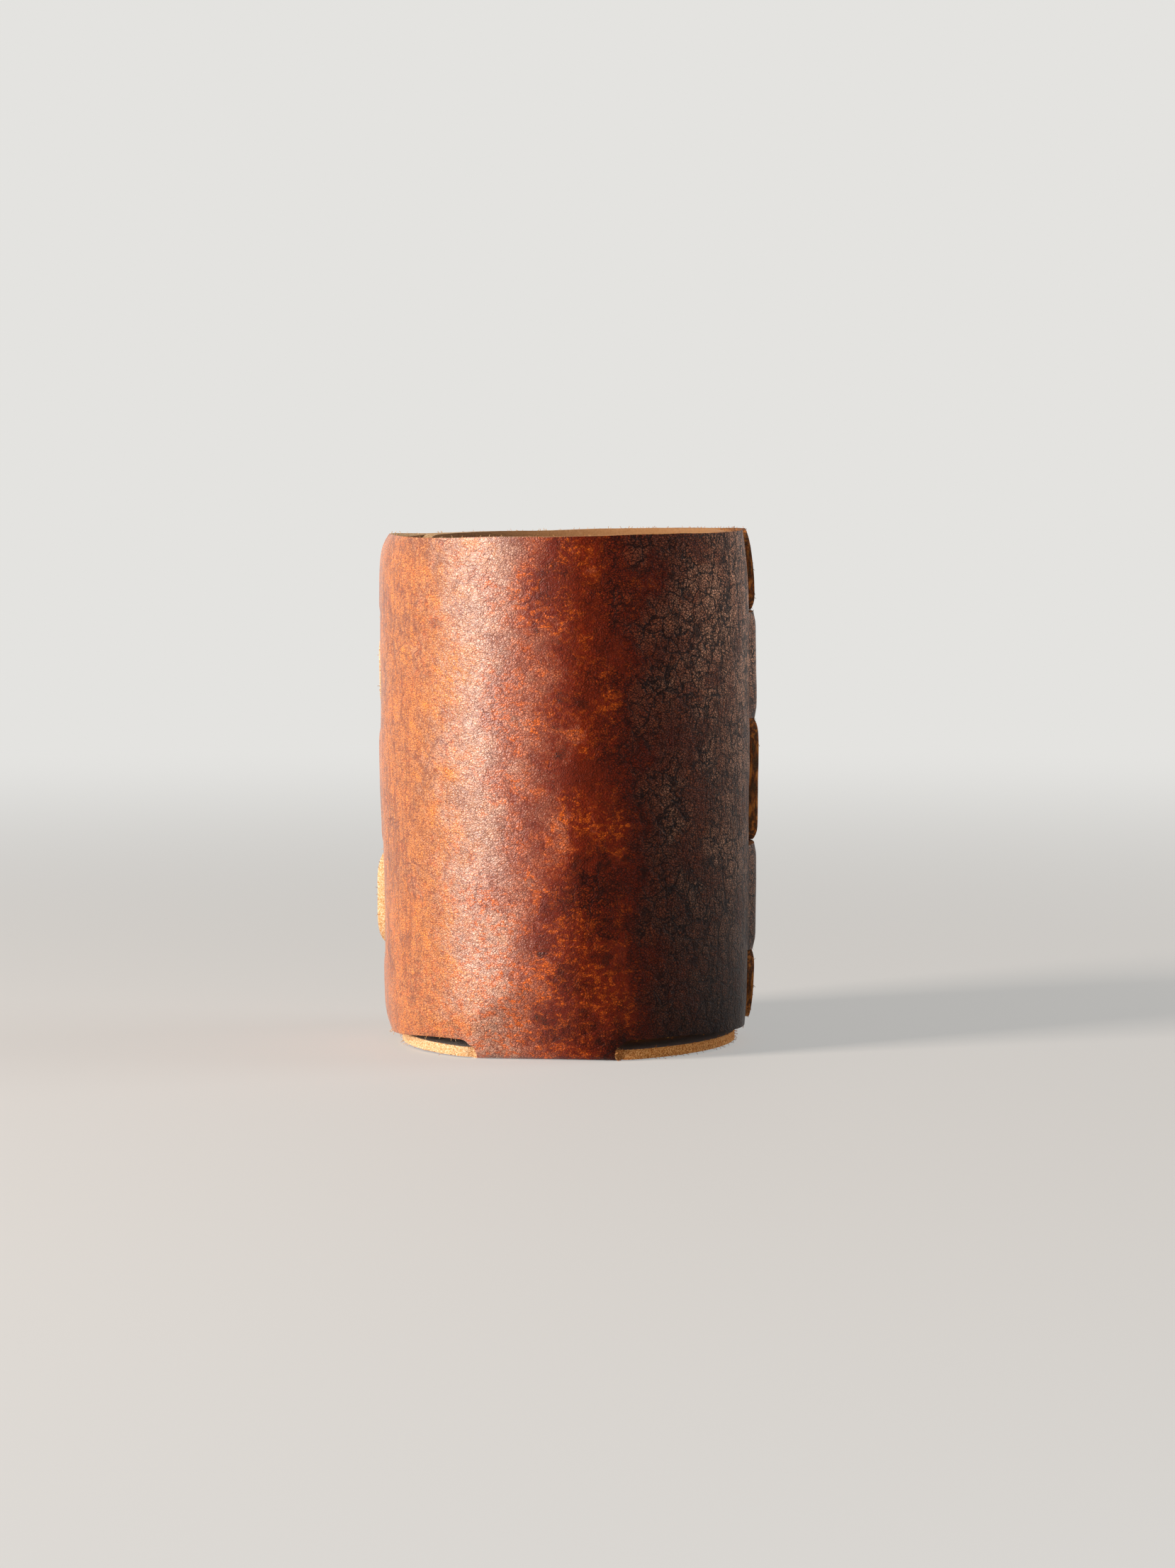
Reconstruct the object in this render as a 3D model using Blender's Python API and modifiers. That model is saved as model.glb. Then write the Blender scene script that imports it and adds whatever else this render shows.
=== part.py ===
"""Can cooler sleeve cut from one piece of leather.

The blank is a band with a round base on a neck at its front edge. Both ends of the band are slit into
five straps. Wound into a sleeve, the ends overlap across the back half, where the straps cross over and
under each other. The neck folds the round base under the sleeve.

The sheet is modelled as its middle surface, wound and folded, and is then given its thickness.
Angles run round the sleeve from the middle of the front, positive towards +X.
"""

import math

import bmesh
import bpy

MM = 0.001

# Leather
HIDE_THICKNESS = 2.0 * MM
LAYER_GAP = 0.3 * MM

# The standard drink size that the sleeve is wound to, and how loosely
HELD_RADIUS = 33.1 * MM
HELD_CLEARANCE = 1.0 * MM

# The band's height. Its straps are given from the bottom up, and the top strap takes what is left
WALL_HEIGHT = 100.6 * MM
LOWER_STRAP_HEIGHTS = (14.8 * MM, 21.2 * MM, 25.2 * MM, 21.4 * MM)
SLIT = 0.4 * MM
STRAP_CORNER = 7.0 * MM

# Where the slits start on each side, and where the straps change layers and end
LEFT_ROOT = math.radians(84)
RIGHT_ROOT = math.radians(88)
LAYER_CHANGE = math.radians(8)
OUTER_TIP_PAST_CHANGE = math.radians(1)
INNER_STRAP_SHORTER = math.radians(14)
LEFT_OUTER_STRAPS = (0, 2, 4)

# How far some of the outer tips stand off the layer below, over their last length
LOWER_LEFT_TIP_LIFT = 1.7 * MM
MIDDLE_RIGHT_TIP_LIFT = 0.4 * MM
UPPER_LEFT_TIP_LIFT = 0.3 * MM
TIP_LIFT_LENGTH = 16 * MM

# Round base and its neck at the front, between two slots with round ends
BASE_MARGIN = 1.0 * MM
BASE_FORWARD = 0.8 * MM
SLOT_HEIGHT = 1.5 * MM
SLOT_END_GAP = 0.5 * MM
BASE_CORNER = 1.6 * MM
NECK_HALF_WIDTH = 13.9 * MM
FOLD_DEPTH = 2.0 * MM
FACET_HEIGHT = 12.5 * MM
FACET_CREASE = 0.3 * MM

# How the wound wall stands
WALL_BETWEEN_LAYERS = 0.5
WALL_SLOPE = math.tan(math.radians(1.1))
FOOT_LEAN = 1.2 * MM
FOOT_LEAN_HEIGHT = 5.0 * MM
FOOT_LEAN_END = math.radians(74)
LEFT_SIDE_ANGLE = math.radians(84)
LEFT_SIDE_SPREAD = math.radians(24)
RIGHT_SIDE_ANGLE = math.radians(100)
RIGHT_SIDE_SPREAD = math.radians(20)
MOUTH_CURL = 2.2 * MM
FOOT_CURL = 1.3 * MM
LEFT_CURL_DEPTH = 2.4 * MM
RIGHT_CURL_DEPTH = 9.0 * MM
LEFT_SLACK = 0.5 * MM
MOUTH_FLARE = 0.9 * MM
MOUTH_FLARE_START = 25 * MM
MOUTH_FLARE_END = 65 * MM

# Facets
WALL_STEPS = 11
NECK_STEPS = 14
CHANGE_STEPS = 4
STRAP_STEPS = 25
TIP_STEPS = 5
FOLD_STEPS = 5
RIM_STEPS = 52
END_STRAP_ROWS = (0.1, 0.26, 0.44, 0.62, 0.82)
WELD_DISTANCE = 0.01 * MM

# Radii of the sheet's middle surface
INNER_RADIUS = HELD_RADIUS + HELD_CLEARANCE + HIDE_THICKNESS / 2
LAYER_PITCH = HIDE_THICKNESS + LAYER_GAP
OUTER_RADIUS = INNER_RADIUS + LAYER_PITCH
WALL_RADIUS = INNER_RADIUS + WALL_BETWEEN_LAYERS * LAYER_PITCH
BASE_RADIUS = HELD_RADIUS + BASE_MARGIN

# Heights
BASE_LEVEL = HIDE_THICKNESS / 2
WALL_FOOT = HIDE_THICKNESS + SLOT_HEIGHT
WALL_TOP = WALL_FOOT + WALL_HEIGHT
TOP_STRAP_HEIGHT = WALL_HEIGHT - sum(LOWER_STRAP_HEIGHTS) - SLIT * len(LOWER_STRAP_HEIGHTS)
STRAP_HEIGHTS = (*LOWER_STRAP_HEIGHTS, TOP_STRAP_HEIGHT)

# By side, left -1 and right 1: where the straps start and end, counted from the front on their own side
ROOT = {-1: LEFT_ROOT, 1: RIGHT_ROOT}
OUTER_TIP = {side: 2 * math.pi - ROOT[-side] - LAYER_CHANGE - OUTER_TIP_PAST_CHANGE for side in (-1, 1)}
TIP_LIFT = {1: LOWER_LEFT_TIP_LIFT, 2: MIDDLE_RIGHT_TIP_LIFT, 3: UPPER_LEFT_TIP_LIFT}

# The neck's half angle, the foot of the flat facet above it and the end of its fold
NECK_HALF_ANGLE = math.asin(NECK_HALF_WIDTH / (WALL_RADIUS - FOOT_LEAN))
FACET_FOOT = (WALL_RADIUS - FOOT_LEAN) * math.cos(NECK_HALF_ANGLE)
FOLD_END = FOLD_DEPTH - FACET_FOOT


def ease(share):
    """A smooth rise from 0 to 1."""
    share = min(1.0, max(0.0, share))
    return share * share * (3 - 2 * share)


def spread(start, end, steps):
    """Evenly spaced stations, both ends included."""
    return [start + (end - start) * k / steps for k in range(steps + 1)]


def nearest_turn(angle):
    """The same direction, between -180 and 180 degrees."""
    return (angle + math.pi) % (2 * math.pi) - math.pi


def stance(angle, height):
    """How far the standing wall departs from a plain cylinder, outwards positive."""
    angle = nearest_turn(angle)
    if angle < 0:
        middle, reach, curl_depth = -LEFT_SIDE_ANGLE, LEFT_SIDE_SPREAD, LEFT_CURL_DEPTH
    else:
        middle, reach, curl_depth = RIGHT_SIDE_ANGLE, RIGHT_SIDE_SPREAD, RIGHT_CURL_DEPTH
    at_side = math.exp(-(((angle - middle) / reach) ** 2))
    curl = MOUTH_CURL * math.exp(-max(0.0, WALL_TOP - height) / curl_depth)
    curl += FOOT_CURL * math.exp(-max(0.0, height - WALL_FOOT) / curl_depth)
    flare = 0.0
    if angle < 0:
        rise = ease((height - MOUTH_FLARE_START) / (MOUTH_FLARE_END - MOUTH_FLARE_START))
        flare = at_side * (LEFT_SLACK + MOUTH_FLARE * rise)
    lean_share = max(0.0, 1 - (height - WALL_FOOT) / FOOT_LEAN_HEIGHT)
    lean_fade = 1 - ease((abs(angle) - NECK_HALF_ANGLE) / (FOOT_LEAN_END - NECK_HALF_ANGLE))
    return flare - curl * at_side - FOOT_LEAN * lean_fade * lean_share ** 1.5


def wall_radius(angle, height):
    """The front wall's radius. The folded neck pulls the leather above it flat, in a facet that leans in."""
    radius = WALL_RADIUS + stance(angle, height)
    facet = FACET_FOOT + (WALL_RADIUS - FACET_FOOT) * (height - WALL_FOOT) / FACET_HEIGHT
    proud = radius - facet / math.cos(angle)
    return radius - FACET_CREASE * math.log(1 + math.exp(proud / FACET_CREASE))


def stand(angle, radius, height, sloped=1.0):
    """A point of the sleeve. The wound wall slopes a little, up towards +X; the base does not."""
    x = radius * math.sin(angle)
    return (x, -radius * math.cos(angle), height + sloped * WALL_SLOPE * x)


def patch(sheet, columns, rows, point):
    """A grid of the sheet, placed by point(column value, row value)."""
    grid = bmesh.ops.create_grid(sheet, x_segments=len(columns) - 1, y_segments=len(rows) - 1, size=1)
    for vertex in grid["verts"]:
        across = round((vertex.co.x + 1) / 2 * (len(columns) - 1))
        up = round((vertex.co.y + 1) / 2 * (len(rows) - 1))
        vertex.co = point(columns[across], rows[up])


def strap_rows():
    """For each strap, its heights above its own lower edge. The end straps have rows near their free edge."""
    shares = [(0, 1)] * len(STRAP_HEIGHTS)
    shares[0] = (0, *END_STRAP_ROWS, 1)
    shares[-1] = (0, *[1 - share for share in reversed(END_STRAP_ROWS)], 1)
    return [[share * height for share in own] for own, height in zip(shares, STRAP_HEIGHTS)]


def strap_feet():
    """The height of each strap's lower edge."""
    feet = [WALL_FOOT]
    for height in STRAP_HEIGHTS[:-1]:
        feet.append(feet[-1] + height + SLIT)
    return feet


def wall(sheet):
    """The single wall across the front, from one row of strap roots to the other."""
    columns = spread(-LEFT_ROOT, -NECK_HALF_ANGLE, WALL_STEPS)
    columns += spread(-NECK_HALF_ANGLE, NECK_HALF_ANGLE, NECK_STEPS)[1:-1]
    columns += spread(NECK_HALF_ANGLE, RIGHT_ROOT, WALL_STEPS)
    rows = [foot + row for foot, own in zip(strap_feet(), strap_rows()) for row in own]
    patch(sheet, columns, rows, lambda a, z: stand(a, wall_radius(a, z), z))


def strap(sheet, side, number):
    """One strap, from its root round the back to its rounded tip."""
    outer = (number in LEFT_OUTER_STRAPS) == (side < 0)
    root = ROOT[side]
    tip = OUTER_TIP[side] - (0 if outer else INNER_STRAP_SHORTER)
    layer = OUTER_RADIUS if outer else INNER_RADIUS
    lift = TIP_LIFT.get(number, 0) if outer else 0
    height = STRAP_HEIGHTS[number]
    foot = strap_feet()[number]
    corner = STRAP_CORNER / layer
    change_end = root + LAYER_CHANGE
    round_off = [tip - corner * (1 - math.sin(turn)) for turn in spread(0, math.pi / 2, TIP_STEPS)]
    columns = spread(root, change_end, CHANGE_STEPS)[:-1]
    columns += spread(change_end, round_off[0], STRAP_STEPS)[:-1]
    columns += round_off

    def point(angle, row):
        radius = WALL_RADIUS + (layer - WALL_RADIUS) * ease((angle - root) / LAYER_CHANGE)
        to_tip = (tip - angle) * layer
        radius += lift * max(0.0, 1 - to_tip / TIP_LIFT_LENGTH) ** 2
        short = max(0.0, STRAP_CORNER - to_tip)
        inset = STRAP_CORNER - math.sqrt(max(0.0, STRAP_CORNER ** 2 - short ** 2))
        z = foot + height / 2 + (row - height / 2) * (1 - 2 * inset / height)
        return stand(side * angle, radius + stance(side * angle, z), z)

    patch(sheet, columns, strap_rows()[number], point)


def neck(sheet):
    """The straight fold that joins the front wall to the base."""
    columns = spread(-NECK_HALF_ANGLE, NECK_HALF_ANGLE, NECK_STEPS)
    turns = spread(0, math.pi / 2, FOLD_STEPS)

    def point(angle, turn):
        x, start, _ = stand(angle, wall_radius(angle, WALL_FOOT), WALL_FOOT)
        y = start + (FOLD_END - start) * (1 - math.cos(turn))
        z = WALL_FOOT - (WALL_FOOT - BASE_LEVEL) * math.sin(turn)
        return (x, y, z + WALL_SLOPE * x * math.cos(turn))

    patch(sheet, columns, turns, point)


def base_rim():
    """The base's edge from the slot on the right, round the back, to the slot on the left."""
    slot = math.asin((NECK_HALF_WIDTH + SLOT_END_GAP) / BASE_RADIUS)
    corner = BASE_CORNER / BASE_RADIUS
    angles = [slot, slot + corner / 3, *spread(slot + corner, 2 * math.pi - slot - corner, RIM_STEPS)]
    angles += [2 * math.pi - slot - corner / 3, 2 * math.pi - slot]
    rim = []
    for angle in angles:
        to_end = min(angle - slot, 2 * math.pi - slot - angle)
        inset = BASE_CORNER * (1 - min(1.0, to_end / corner)) ** 2
        x, y, z = stand(angle, BASE_RADIUS - inset, BASE_LEVEL, sloped=0)
        rim.append((x, y - BASE_FORWARD, z))
    return rim


def base(sheet):
    """The round base, as one flat face that starts at the neck's fold."""
    outline = [(wall_radius(angle, WALL_FOOT) * math.sin(angle), FOLD_END, BASE_LEVEL)
               for angle in spread(-NECK_HALF_ANGLE, NECK_HALF_ANGLE, NECK_STEPS)]
    outline.append((NECK_HALF_WIDTH + SLOT_END_GAP, FOLD_END, BASE_LEVEL))
    outline += base_rim()
    outline.append((-NECK_HALF_WIDTH - SLOT_END_GAP, FOLD_END, BASE_LEVEL))
    sheet.faces.new([sheet.verts.new(place) for place in outline])


def leather():
    """Waxed vegetable-tanned leather, brown."""
    material = bpy.data.materials.new("waxed_brown_leather")
    material.use_nodes = True
    shader = material.node_tree.nodes["Principled BSDF"]
    shader.inputs["Base Color"].default_value = (0.19, 0.05, 0.02, 1)
    shader.inputs["Roughness"].default_value = 0.42
    shader.inputs["Metallic"].default_value = 0.0
    return material


def sleeve(collection):
    """The whole piece: the sheet's middle surface, thickened."""
    sheet = bmesh.new()
    wall(sheet)
    for side in (-1, 1):
        for number in range(len(STRAP_HEIGHTS)):
            strap(sheet, side, number)
    neck(sheet)
    base(sheet)
    bmesh.ops.remove_doubles(sheet, verts=sheet.verts, dist=WELD_DISTANCE)
    bmesh.ops.recalc_face_normals(sheet, faces=sheet.faces)
    mesh = bpy.data.meshes.new("leather_sleeve")
    sheet.to_mesh(mesh)
    sheet.free()
    mesh.materials.append(leather())
    piece = bpy.data.objects.new("leather_sleeve", mesh)
    collection.objects.link(piece)
    thicken = piece.modifiers.new("thickness", "SOLIDIFY")
    thicken.thickness = HIDE_THICKNESS
    thicken.offset = 0
    thicken.use_even_offset = True
    mesh.shade_smooth()
    mesh.set_sharp_from_angle(angle=math.radians(35))
    return piece


def main():
    for old in list(bpy.data.objects):
        bpy.data.objects.remove(old)
    collection = bpy.data.collections.new("can_cooler_sleeve")
    bpy.context.scene.collection.children.link(collection)
    sleeve(collection)


main()
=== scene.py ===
"""Leather can cooler sleeve, dressed for its picture: one cut blank, wound, interleaved and folded."""

import math
import random

import bmesh
import bpy
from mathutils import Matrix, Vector, noise


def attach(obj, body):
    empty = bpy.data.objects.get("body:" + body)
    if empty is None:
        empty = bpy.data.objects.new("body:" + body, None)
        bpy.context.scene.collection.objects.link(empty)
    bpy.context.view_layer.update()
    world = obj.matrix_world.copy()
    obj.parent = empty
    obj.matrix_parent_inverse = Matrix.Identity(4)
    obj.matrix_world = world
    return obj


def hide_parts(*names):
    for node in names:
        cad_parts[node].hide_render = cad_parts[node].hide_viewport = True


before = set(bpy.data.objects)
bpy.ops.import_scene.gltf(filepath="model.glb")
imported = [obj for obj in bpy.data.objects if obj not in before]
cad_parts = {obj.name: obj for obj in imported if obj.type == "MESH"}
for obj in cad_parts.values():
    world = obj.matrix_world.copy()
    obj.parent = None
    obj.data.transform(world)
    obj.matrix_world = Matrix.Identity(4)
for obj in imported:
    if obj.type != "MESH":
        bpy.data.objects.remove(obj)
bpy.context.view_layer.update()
scene = bpy.context.scene
scene.view_settings.view_transform = "Standard"


# The blank as it stands
# One piece of 2 mm vegetable-tanned shoulder, cut flat and wound into a sleeve. Its two ends are slit
# into five straps that pass over and under each other across the back, and hold by friction alone.

MM = 0.001
HIDE = 2.0 * MM
LAYER_GAP = 0.3 * MM
INNER = 35.1 * MM
OUTER = INNER + HIDE + LAYER_GAP
WALL = (INNER + OUTER) / 2
FOOT = 3.5 * MM
STRAPS = (14.8 * MM, 21.2 * MM, 25.2 * MM, 21.4 * MM, 16.4 * MM)
SLIT = 0.4 * MM
TOP = FOOT + sum(STRAPS) + 4 * SLIT
ROOT = {-1: math.radians(84), 1: math.radians(88)}
CHANGE = math.radians(8)
TIP_CORNER = 7.0 * MM
TIP_LIFT = {1: 1.7 * MM, 2: 0.4 * MM, 3: 0.3 * MM}
TIP_LIFT_LENGTH = 16 * MM
OUTER_TIP_GAP = math.radians(1)
INNER_TIP_GAP = math.radians(15)
EDGE_DRAW = 0.45 * MM
EDGE_REACH = 1.6 * MM
SLOPE = math.tan(math.radians(1.1))
# Each side's middle and reach round the wall in degrees, and how far its rims' curl goes into the wall
LEFT_SIDE = (-84, 24, 2.4 * MM)
RIGHT_SIDE = (100, 20, 9.0 * MM)
MOUTH_CURL = 2.2 * MM
FOOT_CURL = 1.3 * MM
SLACK_LOW_MM = 0.5
SLACK_MORE_MM = 0.9
SLACK_FROM = 25 * MM
SLACK_OVER = 40 * MM
# The sheet wanders in slow and quick waves, so many to the metre
SLOW_WAVES, SLOW_WANDER_MM = 60, 0.22
QUICK_WAVES, QUICK_WANDER_MM = 260, 0.05
NECK_HALF = 13.9 * MM
SLOT_ROUNDING = 1.1 * MM
SLOT_RISE = 0.9 * MM
SLOT_RISE_FROM = math.radians(38)
SLOT_RISE_OVER = math.radians(36)
SLOT_RISE_FADE = 7 * MM
FOOT_LEAN = 1.2 * MM
FOOT_LEAN_HEIGHT = 5 * MM
FOOT_LEAN_END = math.radians(74)
FACET_HEIGHT = 12.5 * MM
FACET_BLEND = 0.2 * MM
FOLD_DEPTH = 2.0 * MM
BASE_RADIUS = 34.1 * MM
BASE_FORWARD = 0.8 * MM
BASE_CORNER = 3.0 * MM
BASE_CORNER_DROP = 1.3 * MM
BASE_RISE = 0.65 * MM
BASE_FLAT_SHARE = 0.45
KNIFE_CORNER = 0.28 * MM
MESH_STEP = 1.0 * MM
TIP_STEPS = 10
FOLD_STEPS = 12
BASE_STEPS = 30
# The wander is the same at each run
noise.seed_set(7)

neck_angle = math.asin(NECK_HALF / (WALL - FOOT_LEAN))
facet_foot = (WALL - FOOT_LEAN) * math.cos(neck_angle)
fold_end = FOLD_DEPTH - facet_foot
neck_top = neck_angle + SLOT_ROUNDING / (WALL - FOOT_LEAN)


def ease(share):
    share = min(1.0, max(0.0, share))
    return share * share * (3 - 2 * share)


def spread(start, end, steps):
    return [start + (end - start) * k / steps for k in range(steps + 1)]


def stations(start, end, radius):
    return spread(start, end, max(1, round(abs(end - start) * radius / MESH_STEP)))


def stance(angle, height):
    """How the standing wall departs from a cylinder: curled in at its rims, slacker at the left."""
    angle = (angle + math.pi) % (2 * math.pi) - math.pi
    middle, reach, depth = LEFT_SIDE if angle < 0 else RIGHT_SIDE
    at_side = math.exp(-(((angle - math.radians(middle)) / math.radians(reach)) ** 2))
    curl = MOUTH_CURL * math.exp(-max(0.0, TOP - height) / depth)
    curl += FOOT_CURL * math.exp(-max(0.0, height - FOOT) / depth)
    flare = 0.0
    if angle < 0:
        flare = at_side * (SLACK_LOW_MM + SLACK_MORE_MM * ease((height - SLACK_FROM) / SLACK_OVER)) * MM
    lean = max(0.0, 1 - (height - FOOT) / FOOT_LEAN_HEIGHT) ** 1.5
    fade = 1 - ease((abs(angle) - neck_angle) / (FOOT_LEAN_END - neck_angle))
    return flare - curl * at_side - FOOT_LEAN * fade * lean


def wall_radius(angle, height):
    """The front wall's radius, pulled flat above the neck in a facet that leans in."""
    radius = WALL + stance(angle, height)
    facet = facet_foot + (WALL - facet_foot) * (height - FOOT) / FACET_HEIGHT
    proud = (radius - facet / math.cos(angle)) / FACET_BLEND
    # Well past the facet's edge the blend has run out, and the exponential would only overflow
    return radius - FACET_BLEND * (math.log(1 + math.exp(proud)) if proud < 30 else proud)


def settle(place, amount=1.0):
    """Lets the sheet wander a little, as bent leather does."""
    slow = noise.noise_vector(Vector(place) * SLOW_WAVES) * SLOW_WANDER_MM * MM
    quick = noise.noise_vector(Vector(place) * QUICK_WAVES) * QUICK_WANDER_MM * MM
    return Vector(place) + (slow + quick) * amount


def stand(angle, radius, height):
    x = radius * math.sin(angle)
    return settle((x, -radius * math.cos(angle), height + SLOPE * x))


def patch(sheet, columns, rows, point):
    """A grid of the sheet, placed by point(column value, row value)."""
    grid = bmesh.ops.create_grid(sheet, x_segments=len(columns) - 1, y_segments=len(rows) - 1, size=1)
    for vertex in grid["verts"]:
        across = round((vertex.co.x + 1) / 2 * (len(columns) - 1))
        up = round((vertex.co.y + 1) / 2 * (len(rows) - 1))
        vertex.co = point(columns[across], rows[up])


strap_feet = [FOOT]
for strap_height in STRAPS[:-1]:
    strap_feet.append(strap_feet[-1] + strap_height + SLIT)


def strap_rows(number):
    return spread(0, STRAPS[number], round(STRAPS[number] / MESH_STEP))


def slot_lift(angle, height):
    """How far the slots' upper edges are cut above the foot: round at the neck, nothing at the sides."""
    from_neck = (abs(angle) - neck_top) * WALL / (2 * SLOT_ROUNDING)
    if from_neck <= 0:
        return 0.0
    arch = math.sqrt(1 - (1 - min(1.0, from_neck)) ** 2)
    to_side = 1 - ease((abs(angle) - SLOT_RISE_FROM) / SLOT_RISE_OVER)
    return SLOT_RISE * arch * to_side * max(0.0, 1 - (height - FOOT) / SLOT_RISE_FADE)


def front_wall(sheet):
    """The single wall across the front, between the roots of the slits."""
    columns = stations(-ROOT[-1], -neck_top, WALL) + stations(-neck_top, neck_top, WALL)[1:-1]
    columns += stations(neck_top, ROOT[1], WALL)
    rows = [strap_feet[k] + row for k in range(len(STRAPS)) for row in strap_rows(k)]
    patch(sheet, columns, rows, lambda a, z: stand(a, wall_radius(a, z), z + slot_lift(a, z)))


def strap(sheet, side, number):
    """One strap, from its root round the back to its rounded tip."""
    outer = (number in (0, 2, 4)) == (side < 0)
    root = ROOT[side]
    tip = 2 * math.pi - ROOT[-side] - CHANGE - (OUTER_TIP_GAP if outer else INNER_TIP_GAP)
    layer = OUTER if outer else INNER
    lift = TIP_LIFT.get(number, 0) if outer else 0
    height = STRAPS[number]
    round_start = tip - TIP_CORNER / layer
    columns = stations(root, round_start, layer)[:-1]
    turns = spread(0, math.pi / 2, TIP_STEPS)
    columns += [tip - TIP_CORNER / layer * (1 - math.sin(turn)) for turn in turns]

    def point(angle, row):
        changed = ease((angle - root) / CHANGE)
        radius = WALL + (layer - WALL) * changed
        to_tip = (tip - angle) * layer
        radius += lift * max(0.0, 1 - to_tip / TIP_LIFT_LENGTH) ** 2
        short = max(0.0, TIP_CORNER - to_tip)
        inset = TIP_CORNER - math.sqrt(max(0.0, TIP_CORNER ** 2 - short ** 2))
        z = strap_feet[number] + height / 2 + (row - height / 2) * (1 - 2 * inset / height)
        # Each strap's cut edges are drawn in a little, so that its middle stands proud
        to_slit = min(abs(z - foot + SLIT / 2) for foot in strap_feet[1:])
        radius -= EDGE_DRAW * changed * math.exp(-((to_slit / EDGE_REACH) ** 2))
        return stand(side * angle, radius + stance(side * angle, z), z)

    patch(sheet, columns, strap_rows(number), point)


def neck(sheet):
    """The straight fold under the front, waisted by the round ends of the two slots."""
    columns = stations(-neck_top, neck_top, WALL)
    turns = spread(0, math.pi / 2, FOLD_STEPS)

    def point(angle, turn):
        radius = wall_radius(angle, FOOT)
        x = radius * math.sin(angle)
        start = -radius * math.cos(angle)
        into_slot = min(turn, math.pi / 2 - turn) / (math.pi / 4)
        x *= 1 - SLOT_ROUNDING / (NECK_HALF + SLOT_ROUNDING) * math.sqrt(1 - (1 - into_slot) ** 2)
        y = start + (fold_end - start) * (1 - math.cos(turn))
        z = FOOT - (FOOT - HIDE / 2) * math.sin(turn) + SLOPE * x * math.cos(turn)
        fade = math.cos(turn)
        return settle((x, y, z), fade)

    patch(sheet, columns, turns, point)


def base_outline():
    """The round base's edge, from the left end of the neck's fold round to where it starts."""
    columns = stations(-neck_top, neck_top, WALL)
    edge = [(wall_radius(angle, FOOT) * math.sin(angle), fold_end) for angle in columns]
    slot = math.asin((NECK_HALF + SLOT_ROUNDING) / BASE_RADIUS)
    corner = BASE_CORNER / BASE_RADIUS
    for angle in stations(slot, 2 * math.pi - slot, BASE_RADIUS)[1:-1]:
        to_end = min(angle - slot, 2 * math.pi - slot - angle)
        radius = BASE_RADIUS - BASE_CORNER_DROP * (1 - min(1.0, to_end / corner)) ** 2.5
        edge.append((radius * math.sin(angle), -radius * math.cos(angle) - BASE_FORWARD))
    return edge + edge[:1]


def base(sheet):
    """The round base. Its two sides are drawn up a little by the wall."""
    edge = base_outline()
    shares = spread(0, 1, BASE_STEPS)

    def point(number, share):
        x, y = edge[number][0] * share, edge[number][1] * share
        reach = math.hypot(x, y) / BASE_RADIUS
        side = abs(x) / (math.hypot(x, y) + MM)
        rise = BASE_RISE * ease((reach - BASE_FLAT_SHARE) / (1 - BASE_FLAT_SHARE)) * side ** 1.5
        return Vector((x, y, HIDE / 2 + rise))

    patch(sheet, range(len(edge)), shares, point)


sheet = bmesh.new()
front_wall(sheet)
for side in (-1, 1):
    for number in range(len(STRAPS)):
        strap(sheet, side, number)
neck(sheet)
base(sheet)
bmesh.ops.remove_doubles(sheet, verts=sheet.verts, dist=0.02 * MM)
bmesh.ops.recalc_face_normals(sheet, faces=sheet.faces)
front = Vector((0, -WALL, TOP / 2))
front_face = min(sheet.faces, key=lambda face: (face.calc_center_median() - front).length)
if front_face.normal.y > 0:
    bmesh.ops.reverse_faces(sheet, faces=sheet.faces)
blank = bpy.data.meshes.new("sleeve_leather")
sheet.to_mesh(blank)
sheet.free()
blank.shade_smooth()
sleeve = bpy.data.objects.new("sleeve_leather", blank)
scene.collection.objects.link(sleeve)

thickness = sleeve.modifiers.new("hide", "SOLIDIFY")
thickness.thickness = HIDE
thickness.offset = 0
thickness.use_even_offset = True
thickness.material_offset = 1
thickness.material_offset_rim = 2
cut_corners = sleeve.modifiers.new("cut corners", "BEVEL")
cut_corners.limit_method = "ANGLE"
cut_corners.angle_limit = math.radians(60)
cut_corners.width = KNIFE_CORNER
cut_corners.segments = 2

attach(sleeve, "root")
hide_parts("leather_sleeve")


# Grain side
# Vegetable-tanned leather, given a brown drum dye and stuffed with wax and oil. It has a tight pebbled grain,
# lightens to orange where it is bent and rubbed, and is darker in its pores and wrinkles, partly as painted
# shade.
# Its colour across the front also carries painted light: a painted highlight band at the left, painted shade
# beyond it and a painted sheen at the far right.

def linear(code):
    """A colour written as sRGB hex, as the linear values that a shader takes."""
    parts = [int(code[k:k + 2], 16) / 255 for k in (1, 3, 5)]
    return [part / 12.92 if part <= 0.04045 else ((part + 0.055) / 1.055) ** 2.4 for part in parts] + [1]


def plug(material, node, inputs):
    """Links each value that is an output socket, and sets any other on the node's own socket."""
    for name, value in dict(inputs).items():
        if isinstance(value, bpy.types.NodeSocket):
            material.node_tree.links.new(value, node.inputs[name])
        else:
            node.inputs[name].default_value = value


def add(material, kind, inputs=(), output=None, stops=(), **settings):
    """Adds a node and gives back its first output or the named one. Stops are a ramp's (place, colour)."""
    made = material.node_tree.nodes.new(kind)
    for name, value in settings.items():
        setattr(made, name, value)
    for place, code in stops[2:]:
        made.color_ramp.elements.new(place)
    for number, (place, code) in enumerate(stops):
        made.color_ramp.elements[number].position = place
        made.color_ramp.elements[number].color = linear(code)
    plug(material, made, inputs)
    return made.outputs[output] if output else next(out for out in made.outputs if out.enabled)


def surface(name):
    """A new material, its shader, and the place on the piece in millimetres for its patterns."""
    material = bpy.data.materials.new(name)
    material.use_nodes = True
    place = add(material, "ShaderNodeTexCoord", output="Object")
    in_mm = add(material, "ShaderNodeVectorMath", {0: place, 1: [1 / MM] * 3}, operation="MULTIPLY")
    return material, material.node_tree.nodes["Principled BSDF"], in_mm


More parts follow.
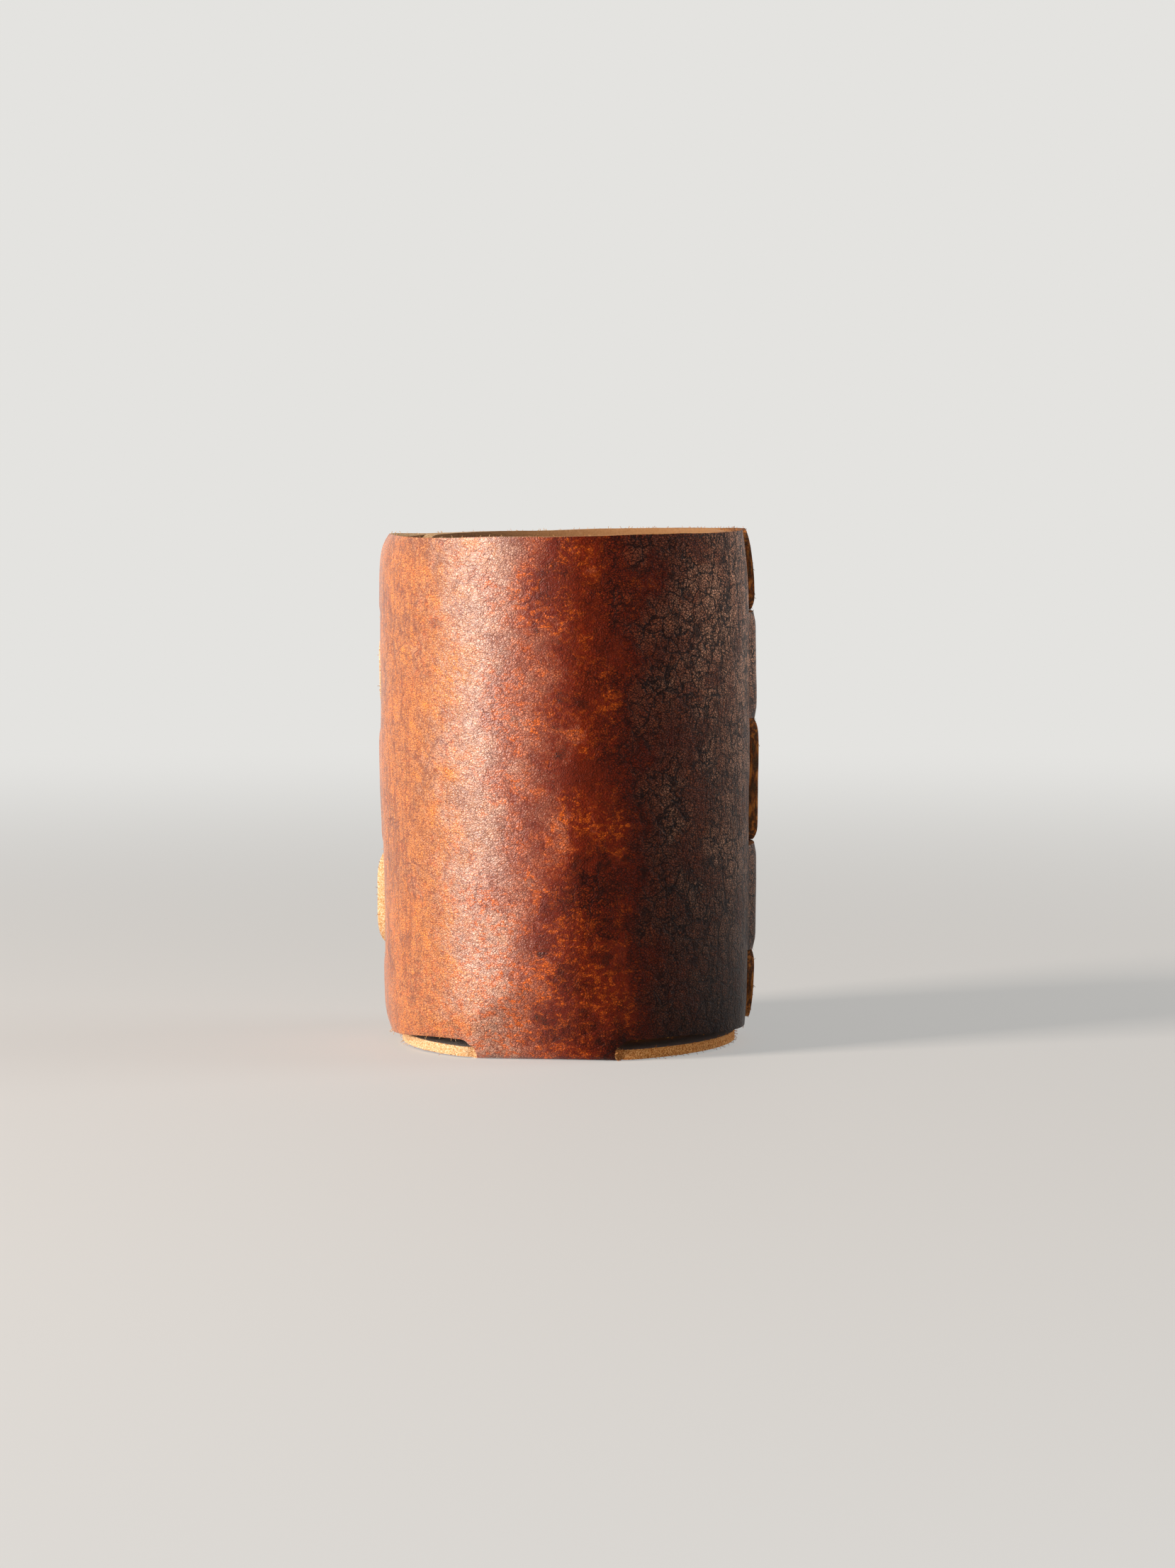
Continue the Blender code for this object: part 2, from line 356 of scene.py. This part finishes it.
# Real sizes of the patterns, in millimetres
DRIFT_PER_MM = 0.35
BORDER = 11
PEBBLE = 0.62
PEBBLE_FLATTENED = 1.45
FOLD = 1.1
SWELL = 1.4
PLATE = 3.5
WRINKLED_PATCH = 11
UPRIGHT_WRINKLE = 2.4
BIAS_RIDGE = 1.8
BIAS_STREAK = 2.6
CLOUD = 8
FLECK = 1.6
FRECKLE = 4.2

waxed_grain, shader, in_mm = surface("waxed vegetable tanned grain")
m = waxed_grain

# No line of the grain runs straight: every pattern is laid out on a place that drifts
drift = add(m, "ShaderNodeTexNoise", {"Vector": in_mm, "Scale": DRIFT_PER_MM, "Detail": 3}, output="Color")
drift = add(m, "ShaderNodeVectorMath", {0: drift, 1: (0.5, 0.5, 0.5)}, operation="SUBTRACT")
far_drift = add(m, "ShaderNodeVectorMath", {0: drift, "Scale": 5.0}, operation="SCALE")
near_drift = add(m, "ShaderNodeVectorMath", {0: drift, "Scale": 1.6}, operation="SCALE")
drifted = add(m, "ShaderNodeVectorMath", {0: in_mm, 1: near_drift}, operation="ADD")
grain_place = add(m, "ShaderNodeVectorMath", {0: drifted, 1: (1, 1, PEBBLE_FLATTENED)},
                  operation="MULTIPLY")
wrinkle_place = add(m, "ShaderNodeVectorMath", {0: in_mm, 1: far_drift}, operation="ADD")
across = add(m, "ShaderNodeSeparateXYZ", {"Vector": in_mm}, output="X")
up = across.node.outputs["Z"]

# One flank of the hide is paler and smoother than the other, and the border between them wanders. This
# left-to-right measure also places painted light: paler towards the lamp at the left, darker away from it.
blotches = add(m, "ShaderNodeTexNoise",
               {"Vector": wrinkle_place, "Scale": 1 / BORDER, "Detail": 6, "Roughness": 0.65})
flank_and_light = add(m, "ShaderNodeMath", {0: blotches, 1: 50.0, 2: across}, operation="MULTIPLY_ADD")
flank_and_light = add(m, "ShaderNodeMapRange", {"Value": flank_and_light, "From Min": -15.0, "From Max": 65.0})
cracked = add(m, "ShaderNodeMapRange", {"Value": flank_and_light, "From Min": 0.58, "From Max": 0.92})

# Pebbles a little wider than tall, with thin creases between them that open on the cracked flank
cells = add(m, "ShaderNodeTexVoronoi", {"Vector": grain_place, "Scale": 1 / PEBBLE},
            feature="DISTANCE_TO_EDGE")
pebbles = add(m, "ShaderNodeMapRange", {"Value": cells, "From Max": 0.4}, interpolation_type="SMOOTHSTEP")
width = add(m, "ShaderNodeMapRange", {"Value": cracked, "To Min": 0.13, "To Max": 0.24})
thin = add(m, "ShaderNodeMapRange", {"Value": cells, "From Max": width}, interpolation_type="SMOOTHSTEP")
# Fine folds wander over the pebbles, where a slow noise crosses its own middle
folds = add(m, "ShaderNodeTexNoise",
            {"Vector": grain_place, "Scale": 1 / FOLD, "Detail": 2, "Distortion": 0.2})
folds = add(m, "ShaderNodeMath", {0: folds, 1: 0.5}, operation="SUBTRACT")
folds = add(m, "ShaderNodeMath", {0: folds}, operation="ABSOLUTE")
folds = add(m, "ShaderNodeMapRange", {"Value": folds, "From Max": 0.03}, interpolation_type="SMOOTHSTEP")
tops = add(m, "ShaderNodeMath", {0: thin, 1: folds}, operation="MULTIPLY")
# Under both, the surface swells softly
swell = add(m, "ShaderNodeTexNoise", {"Vector": grain_place, "Scale": 1 / SWELL, "Detail": 3})
# Wrinkles join the pebbles into plates, deep in some places and hardly there in others
plates = add(m, "ShaderNodeTexVoronoi", {"Vector": wrinkle_place, "Scale": 1 / PLATE},
             feature="DISTANCE_TO_EDGE")
plates = add(m, "ShaderNodeMapRange", {"Value": plates, "From Max": 0.09}, interpolation_type="SMOOTHSTEP")
wrinkled = add(m, "ShaderNodeTexNoise", {"Vector": in_mm, "Scale": 1 / WRINKLED_PATCH, "Detail": 2})
wrinkled = add(m, "ShaderNodeMath", {0: cracked, 1: 0.24, 2: wrinkled}, operation="MULTIPLY_ADD")
wrinkled = add(m, "ShaderNodeMapRange", {"Value": wrinkled, "From Min": 0.42, "From Max": 0.72})
plates = add(m, "ShaderNodeMix", {"Factor": wrinkled, "A": 1.0, "B": plates})
# Near its two sides the wall is drawn into long upright wrinkles where it bends
upright = add(m, "ShaderNodeVectorMath", {0: drifted, 1: (1, 1, 0.14)}, operation="MULTIPLY")
drawn = add(m, "ShaderNodeTexNoise", {"Vector": upright, "Scale": 1 / UPRIGHT_WRINKLE, "Detail": 2})
drawn = add(m, "ShaderNodeMath", {0: drawn, 1: 0.5}, operation="SUBTRACT")
drawn = add(m, "ShaderNodeMath", {0: drawn}, operation="ABSOLUTE")
drawn = add(m, "ShaderNodeMapRange", {"Value": drawn, "From Max": 0.045}, interpolation_type="SMOOTHSTEP")
at_side = add(m, "ShaderNodeMath", {0: across}, operation="ABSOLUTE")
at_side = add(m, "ShaderNodeMapRange", {"Value": at_side, "From Min": 19.0, "From Max": 32.0, "To Max": 0.7})
drawn = add(m, "ShaderNodeMix", {"Factor": at_side, "A": 1.0, "B": drawn})
plates = add(m, "ShaderNodeMath", {0: plates, 1: drawn}, operation="MULTIPLY")
# At the pale flank the sheet was pulled on the bias, in soft ridges that run down to the front
bias = add(m, "ShaderNodeMapping",
           {"Vector": drifted, "Rotation": (0, math.radians(38), 0), "Scale": (5, 1, 1)}, vector_type="TEXTURE")
ridges = add(m, "ShaderNodeTexNoise", {"Vector": bias, "Scale": 1 / BIAS_RIDGE, "Detail": 2})
pull = add(m, "ShaderNodeMapRange",
           {"Value": across, "From Min": -24.0, "From Max": -6.0, "To Min": 1.5, "To Max": 0.0})
ridges = add(m, "ShaderNodeMath", {0: ridges, 1: pull}, operation="MULTIPLY")

relief = ridges
for height, share in ((pebbles, 0.55), (folds, 0.3), (plates, 0.7), (swell, 2.2)):
    relief = add(m, "ShaderNodeMath", {0: height, 1: share, 2: relief}, operation="MULTIPLY_ADD")
bump = add(m, "ShaderNodeBump", {"Height": relief, "Strength": 1.0, "Distance": 0.13 * MM})
# The wax lies over the grain and fills it by half
soft_bump = add(m, "ShaderNodeBump", {"Height": relief, "Strength": 1.0, "Distance": 0.055 * MM})

# The dye runs light and warm on the smooth flank, red at the middle and grey brown on the other flank. The ramp
# also paints light: its pale pink band is a painted highlight, the deep red after it is partly painted shade,
# and its pale far end is a painted sheen.
dye_and_painted_light = add(m, "ShaderNodeValToRGB", {"Fac": flank_and_light}, stops=(
    (0.0, "#e4883c"), (0.2, "#d08850"), (0.34, "#d8a890"), (0.45, "#bc7054"),
    (0.55, "#702210"), (0.72, "#662211"), (0.86, "#86503a"), (1.0, "#dca484")))
# Along the ridges of the bias pull the pale flank is streaked with brown and with bright orange
streaks = add(m, "ShaderNodeTexNoise",
              {"Vector": bias, "Scale": 1 / BIAS_STREAK, "Detail": 4, "Roughness": 0.6})
pale = add(m, "ShaderNodeMapRange",
           {"Value": flank_and_light, "From Min": 0.2, "From Max": 0.42, "To Min": 1.0, "To Max": 0.0})
brown = add(m, "ShaderNodeMapRange", {"Value": streaks, "From Min": 0.48, "From Max": 0.3, "To Max": 0.7})
bright = add(m, "ShaderNodeMapRange", {"Value": streaks, "From Min": 0.52, "From Max": 0.68, "To Max": 0.8})
# Bending pushes the wax about in cloudy patches, and most of all above the fold. Where it left, the leather
# pulls up to orange flecks
clouds = add(m, "ShaderNodeTexNoise",
             {"Vector": wrinkle_place, "Scale": 1 / CLOUD, "Detail": 5, "Roughness": 0.65})
low = add(m, "ShaderNodeMapRange", {"Value": up, "From Min": 40.0, "From Max": 8.0, "To Max": 0.17})
pulled = add(m, "ShaderNodeMath", {0: clouds, 1: low})
pulled = add(m, "ShaderNodeMapRange", {"Value": pulled, "From Min": 0.4, "From Max": 0.6})
flecks = add(m, "ShaderNodeTexNoise",
             {"Vector": grain_place, "Scale": 1 / FLECK, "Detail": 4, "Roughness": 0.7})
flecks = add(m, "ShaderNodeMapRange", {"Value": flecks, "From Min": 0.48, "From Max": 0.59})
pulled = add(m, "ShaderNodeMath", {0: pulled, 1: flecks}, operation="MULTIPLY")
warm = add(m, "ShaderNodeMapRange",
           {"Value": flank_and_light, "From Min": 0.48, "From Max": 0.7, "To Min": 1.0, "To Max": 0.08})
bent = add(m, "ShaderNodeMapRange",
           {"Value": flank_and_light, "From Min": 0.15, "From Max": 0.4, "To Min": 0.35, "To Max": 1.0})
worked = add(m, "ShaderNodeMath", {0: warm, 1: bent}, operation="MULTIPLY")
waxy = add(m, "ShaderNodeMapRange",
           {"Value": clouds, "From Min": 0.3, "From Max": 0.5, "To Min": 0.45, "To Max": 0.0})
# Soft dark freckles, most of them under 2 mm across, are faint on the pale flank
freckles = add(m, "ShaderNodeTexVoronoi", {"Vector": wrinkle_place, "Scale": 1 / FRECKLE})
size_of_each = add(m, "ShaderNodeSeparateColor", {"Color": freckles.node.outputs["Color"]})
freckle = add(m, "ShaderNodeMath", {0: size_of_each, 1: 0.34}, operation="MULTIPLY")
freckle = add(m, "ShaderNodeMath", {0: freckle, 1: freckles}, operation="SUBTRACT")
freckle = add(m, "ShaderNodeMapRange", {"Value": freckle, "From Min": -0.03, "From Max": 0.12, "To Max": 0.8})
faint = add(m, "ShaderNodeMapRange",
            {"Value": flank_and_light, "From Min": 0.38, "From Max": 0.52, "To Min": 0.35, "To Max": 1.0})
for mark, where, code in ((brown, pale, "#8a5034"), (bright, pale, "#f8963c"), (pulled, worked, "#f27420"),
                          (waxy, worked, "#5a2c1c"), (freckle, faint, "#2a1712")):
    mark = add(m, "ShaderNodeMath", {0: mark, 1: where}, operation="MULTIPLY")
    dye_and_painted_light = add(m, "ShaderNodeMix", {"Factor": mark, "A": dye_and_painted_light, "B": linear(code)}, data_type="RGBA")
# Painted shade and sheen: on the dark flank the colour is darkened towards the foot and lightened towards the
# top
painted_shade_by_height = add(m, "ShaderNodeMapRange",
           {"Value": up, "From Min": 8.0, "From Max": 95.0, "To Min": 0.1, "To Max": 1.4})
painted_shade_by_height = add(m, "ShaderNodeMix", {"Factor": cracked, "A": 1.0, "B": painted_shade_by_height})
dye_and_painted_light = add(m, "ShaderNodeMix", {"Factor": 1.0, "A": dye_and_painted_light, "B": painted_shade_by_height}, data_type="RGBA", blend_type="MULTIPLY")
# Creases take their own darker colour, partly dye and partly painted shade in the creases, near black on the
# dark flank
creased = add(m, "ShaderNodeMath", {0: tops, 1: plates}, operation="MULTIPLY")
how_dark = add(m, "ShaderNodeMapRange",
               {"Value": flank_and_light, "From Min": 0.35, "From Max": 0.5, "To Min": 0.88, "To Max": 1.0})
creased = add(m, "ShaderNodeMapRange", {"Value": creased, "To Min": how_dark, "To Max": 0.0})
crease_dye_and_shade = add(m, "ShaderNodeValToRGB", {"Fac": flank_and_light}, stops=(
    (0.1, "#702a10"), (0.42, "#682410"), (0.53, "#7c280c"), (0.68, "#2a0c06"), (0.9, "#160b0a")))
leather_colour = add(m, "ShaderNodeMix", {"Factor": creased, "A": dye_and_painted_light, "B": crease_dye_and_shade}, data_type="RGBA")

gloss = add(m, "ShaderNodeMapRange",
            {"Value": clouds, "From Min": 0.35, "From Max": 0.7, "To Min": 0.32, "To Max": 0.42})
# The pale flank is rubbed to a shine, and the dark one is left nearly matt
shine = add(m, "ShaderNodeMapRange",
            {"Value": across, "From Min": -7.0, "From Max": 8.0, "To Min": 0.75, "To Max": 0.02})
dull = add(m, "ShaderNodeMath", {0: shine, 1: 0.4, 2: 0.07}, operation="MULTIPLY_ADD")
plug(m, shader, {"Base Color": leather_colour, "Normal": bump, "Roughness": gloss, "IOR": 1.42,
                 "Specular IOR Level": dull, "Coat Weight": shine, "Coat Roughness": 0.3,
                 "Coat Normal": soft_bump})


# Flesh side
# The inside of the hide, split and left raw: a pale tan nap of loose fibre with no gloss. It is painted
# dark round the rim of the base and at the foot of the wall, as painted shade inside the slots under the wall.

NAP_PER_MM = 2.2
FLESH_PATCH = 7

flesh_nap, shader, in_mm = surface("raw flesh side nap")
m = flesh_nap
nap = add(m, "ShaderNodeTexNoise", {"Vector": in_mm, "Scale": NAP_PER_MM, "Detail": 6, "Roughness": 0.75})
patches = add(m, "ShaderNodeTexNoise", {"Vector": in_mm, "Scale": 1 / FLESH_PATCH, "Detail": 3})
nap_colour = add(m, "ShaderNodeValToRGB", {"Fac": nap}, stops=((0.3, "#8a5c38"), (0.7, "#c59a6c")))
nap_colour = add(m, "ShaderNodeMix", {"Factor": patches, "A": nap_colour, "B": linear("#a87848")},
                 data_type="RGBA")
height = add(m, "ShaderNodeSeparateXYZ", {"Vector": in_mm}, output="Z")
# Painted shade: dark where the wall's foot meets the base's rim
at_foot = add(m, "ShaderNodeMapRange",
              {"Value": height, "From Min": 4.0, "From Max": 7.0, "To Min": 0.9, "To Max": 0.0},
              interpolation_type="SMOOTHSTEP")
from_axis = add(m, "ShaderNodeVectorMath", {0: in_mm, 1: (1, 1, 0)}, operation="MULTIPLY")
from_axis = add(m, "ShaderNodeVectorMath", {0: from_axis}, operation="LENGTH")
at_rim = add(m, "ShaderNodeMapRange", {"Value": from_axis, "From Min": 21.0, "From Max": 30.0},
             interpolation_type="SMOOTHSTEP")
painted_slot_shade = add(m, "ShaderNodeMath", {0: at_foot, 1: at_rim}, operation="MULTIPLY")
nap_colour = add(m, "ShaderNodeMix", {"Factor": painted_slot_shade, "A": nap_colour, "B": linear("#24130a")},
                 data_type="RGBA")
bump = add(m, "ShaderNodeBump", {"Height": nap, "Strength": 0.9, "Distance": 0.18 * MM})
plug(m, shader, {"Base Color": nap_colour, "Normal": bump, "Roughness": 0.95, "Sheen Weight": 0.25})


# Cut edges
# The knife leaves the edges raw. They show the tan fibre of the hide's core in fine layers, cream at one
# side of the sleeve and orange at the other. At the far right the strap tips are painted dark in layers, as
# painted shade.

FIBRES_PER_MM = 3.4
LAYERS_PER_MM = 1.6

raw_edge, shader, in_mm = surface("raw knife cut edge")
m = raw_edge
fibre = add(m, "ShaderNodeTexNoise",
            {"Vector": in_mm, "Scale": FIBRES_PER_MM, "Detail": 6, "Roughness": 0.75})
cream = add(m, "ShaderNodeValToRGB", {"Fac": fibre}, stops=(
    (0.34, "#9a6430"), (0.47, "#e4b074"), (0.62, "#ffeecc")))
orange = add(m, "ShaderNodeValToRGB", {"Fac": fibre}, stops=(
    (0.36, "#74360c"), (0.48, "#cc7c2c"), (0.62, "#ffcc80")))
layers = add(m, "ShaderNodeVectorMath", {0: in_mm, 1: (1, 1, 0.2)}, operation="MULTIPLY")
layers = add(m, "ShaderNodeTexNoise", {"Vector": layers, "Scale": LAYERS_PER_MM, "Detail": 4})
# Painted shade for the strap tips at the far right, in dark layers
waxed = add(m, "ShaderNodeValToRGB", {"Fac": layers}, stops=(
    (0.4, "#1e0e06"), (0.5, "#7c3a10"), (0.62, "#e8903a")))
across = add(m, "ShaderNodeSeparateXYZ", {"Vector": in_mm}, output="X")
to_orange = add(m, "ShaderNodeMapRange", {"Value": across, "From Min": -10.0, "From Max": 20.0})
# Painted shade: the strap tips at the far right, above the base, are darkened
painted_tip_shade = add(m, "ShaderNodeMapRange", {"Value": across, "From Min": 27.0, "From Max": 35.0, "To Max": 0.85})
height = across.node.outputs["Z"]
above_base = add(m, "ShaderNodeMapRange", {"Value": height, "From Min": 4.0, "From Max": 7.0})
painted_tip_shade = add(m, "ShaderNodeMath", {0: painted_tip_shade, 1: above_base}, operation="MULTIPLY")
edge_colour = add(m, "ShaderNodeMix", {"Factor": to_orange, "A": cream, "B": orange}, data_type="RGBA")
edge_colour = add(m, "ShaderNodeMix", {"Factor": painted_tip_shade, "A": edge_colour, "B": waxed}, data_type="RGBA")
bump = add(m, "ShaderNodeBump", {"Height": fibre, "Strength": 1.0, "Distance": 0.2 * MM})
plug(m, shader, {"Base Color": edge_colour, "Normal": bump, "Roughness": 0.85})

for side_of_hide in (waxed_grain, flesh_nap, raw_edge):
    blank.materials.append(side_of_hide)


# Loose fibres
# The knife frees short ends of the hide's fibre along every cut, most of all round the base. They stay on
# by their roots. Each is drawn about three times as thick as the real thing, so that it shows.

CUT_EDGE_SLOT = 2
FIBRE_RADIUS = 0.045 * MM
BASE_SHARE, BASE_LENGTHS = 0.5, (0.3, 0.9)
EDGE_SHARE, EDGE_LENGTHS = 0.15, (0.25, 0.6)
BASE_TOP = FOOT - 0.5 * MM
FIBRE_BENDS = 3

random.seed(7)
hairs = bpy.data.curves.new("loose_fibres", "CURVE")
hairs.dimensions = "3D"
hairs.bevel_depth = FIBRE_RADIUS
hairs.bevel_resolution = 0
bpy.context.view_layer.update()
shaped = sleeve.evaluated_get(bpy.context.evaluated_depsgraph_get()).to_mesh()
for face in shaped.polygons:
    on_base = face.center.z < BASE_TOP
    if face.material_index != CUT_EDGE_SLOT or random.random() > (BASE_SHARE if on_base else EDGE_SHARE):
        continue
    length = random.uniform(*(BASE_LENGTHS if on_base else EDGE_LENGTHS)) * MM
    heading = face.normal + Vector([random.uniform(-0.9, 0.9) for axis in range(3)])
    bend = Vector([random.uniform(-0.4, 0.4) for axis in range(3)])
    hair = hairs.splines.new("POLY")
    hair.points.add(FIBRE_BENDS)
    at = face.center.copy()
    for point in hair.points:
        point.co = (*at, 1)
        at = at + heading.normalized() * length / FIBRE_BENDS
        at.z = max(at.z, FIBRE_RADIUS)
        heading = heading + bend
sleeve.evaluated_get(bpy.context.evaluated_depsgraph_get()).to_mesh_clear()
hairs.materials.append(raw_edge)
fibres = bpy.data.objects.new("loose_fibres", hairs)
scene.collection.objects.link(fibres)
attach(fibres, "root")


# Floor
# A plain pale sweep of matt paper for the sleeve to stand on. It runs far past the picture on every
# side, and its colour carries on in the room behind it, so that no horizon shows.

FLOOR_HALF = 30
PAPER_SEEN = "#e4e3e0"


def seen(material):
    """1 for rays that bring the background to the camera, straight or by a shine, and 0 for the light."""
    rays = add(material, "ShaderNodeLightPath").node.outputs
    shows = add(material, "ShaderNodeMath", {0: rays["Is Camera Ray"], 1: rays["Is Glossy Ray"]})
    return add(material, "ShaderNodeMath", {0: shows, 1: rays["Is Transmission Ray"]})


floor_mesh = bmesh.new()
bmesh.ops.create_grid(floor_mesh, x_segments=1, y_segments=1, size=FLOOR_HALF)
floor_data = bpy.data.meshes.new("floor")
floor_mesh.to_mesh(floor_data)
floor_mesh.free()
floor = bpy.data.objects.new("floor", floor_data)
scene.collection.objects.link(floor)
pale_paper, shader, in_mm = surface("pale matt paper")
m = pale_paper
plug(m, shader, {"Base Color": linear("#d9d7d3"), "Roughness": 0.7})
# As the camera sees it, the paper is part its own pale colour, and wholly so where it runs out of sight
far = add(m, "ShaderNodeVectorMath", {0: in_mm}, operation="LENGTH")
far = add(m, "ShaderNodeMapRange",
          {"Value": far, "From Min": 100.0, "From Max": 900.0, "To Min": 0.45, "To Max": 1.0},
          interpolation_type="SMOOTHSTEP")
far = add(m, "ShaderNodeMath", {0: far, 1: seen(m)}, operation="MULTIPLY")
plain = add(m, "ShaderNodeEmission", {"Color": linear(PAPER_SEEN), "Strength": 1.0})
paper = add(m, "ShaderNodeMixShader", {0: far, 1: shader.outputs[0], 2: plain})
plug(m, m.node_tree.nodes["Material Output"], {"Surface": paper})
floor_data.materials.append(pale_paper)


# Light
# Two upright softboxes in a dim room: a warm window at the left and open sky at the right. The camera,
# and the wax's own shine, see the paper's colour behind the sleeve.

world = bpy.data.worlds.new("soft room")
scene.world = world
world.use_nodes = True
lit = world.node_tree.nodes["Background"]
plug(world, lit, {"Color": linear("#e4e8ec"), "Strength": 0.08})
backdrop = add(world, "ShaderNodeBackground", {"Color": linear(PAPER_SEEN), "Strength": 1.0})
room = add(world, "ShaderNodeMixShader", {0: seen(world), 1: lit.outputs[0], 2: backdrop})
plug(world, world.node_tree.nodes["World Output"], {"Surface": room})


def softbox(name, azimuth, distance, width, foot, top, watts, code):
    """An upright softbox that faces the sleeve. Azimuth 0 is in front of it."""
    lamp = bpy.data.lights.new(name, "AREA")
    lamp.shape = "RECTANGLE"
    lamp.size = width
    lamp.size_y = top - foot
    lamp.energy = watts
    lamp.color = linear(code)[:3]
    box = bpy.data.objects.new(name, lamp)
    turn = math.radians(azimuth)
    box.location = (distance * math.sin(turn), -distance * math.cos(turn), (foot + top) / 2)
    box.rotation_euler = (math.pi / 2, 0, turn)
    scene.collection.objects.link(box)


softbox("window", azimuth=-53, distance=0.9, width=0.26, foot=0.01, top=0.85, watts=17, code="#fff1e6")
softbox("sky", azimuth=104, distance=0.9, width=0.5, foot=0.1, top=0.8, watts=4.2, code="#f4f2f2")


# Camera
# It stands a little right of the front and above the rim, with a 105 mm lens. Its aim comes from the
# column where the photograph shows the sleeve's axis, and the row that is level with the camera.

PHOTO_WIDTH, PHOTO_HEIGHT = 1658, 2212
AXIS_COLUMN, LEVEL_ROW = 803, 618
FOCAL_PIXELS = 6451
FILM_HEIGHT = 36
DISTANCE = 934.5 * MM
CAMERA_HEIGHT = 123.4 * MM
CAMERA_AZIMUTH = math.radians(8.5)

camera_data = bpy.data.cameras.new("camera")
camera_data.sensor_width = FILM_HEIGHT
camera_data.lens = FILM_HEIGHT * FOCAL_PIXELS / PHOTO_HEIGHT
camera = bpy.data.objects.new("camera", camera_data)
camera.location = (DISTANCE * math.sin(CAMERA_AZIMUTH), -DISTANCE * math.cos(CAMERA_AZIMUTH), CAMERA_HEIGHT)
camera.rotation_euler = (math.pi / 2 - math.atan((PHOTO_HEIGHT / 2 - LEVEL_ROW) / FOCAL_PIXELS), 0,
                         CAMERA_AZIMUTH - math.atan((PHOTO_WIDTH / 2 - AXIS_COLUMN) / FOCAL_PIXELS))
scene.collection.objects.link(camera)
scene.camera = camera
